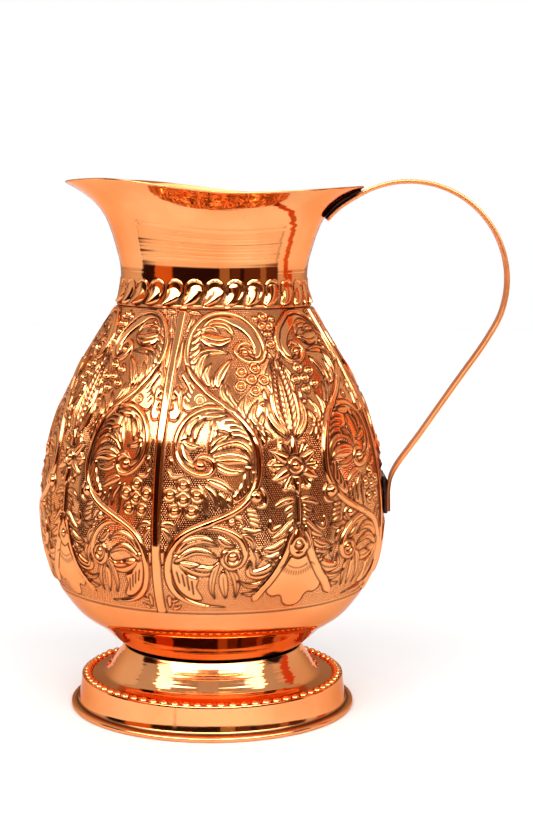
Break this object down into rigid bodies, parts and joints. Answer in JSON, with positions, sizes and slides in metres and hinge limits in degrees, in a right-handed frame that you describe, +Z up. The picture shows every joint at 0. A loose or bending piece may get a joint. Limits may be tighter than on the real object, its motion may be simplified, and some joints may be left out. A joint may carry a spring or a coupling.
{
  "type": "copper water jug",
  "caption": "Pear-shaped sheet-metal water jug with a flared pouring neck, a hollow pedestal foot and a flat strap handle.",
  "frame": {"origin": "on the surface it stands on, under the middle of the whole jug's box, handle included", "axes": "+Z up, +X towards the handle, -X towards the pouring lip"},
  "size_m": [0.1934, 0.1436, 0.2216],
  "materials": {
    "copper": "polished copper sheet, embossed on the bowl",
    "solder": "darkened solder"
  },
  "bodies": {
    "root": {"bowl_shell": "copper", "neck_shell": "copper", "neck_seam_solder": "solder", "foot_pedestal": "copper", "foot_band": "copper", "ledge_solder": "solder", "foot_seam_solder": "solder", "handle_strap": "copper", "upper_handle_solder": "solder", "lower_handle_solder": "solder"}
  },
  "joints": []
}
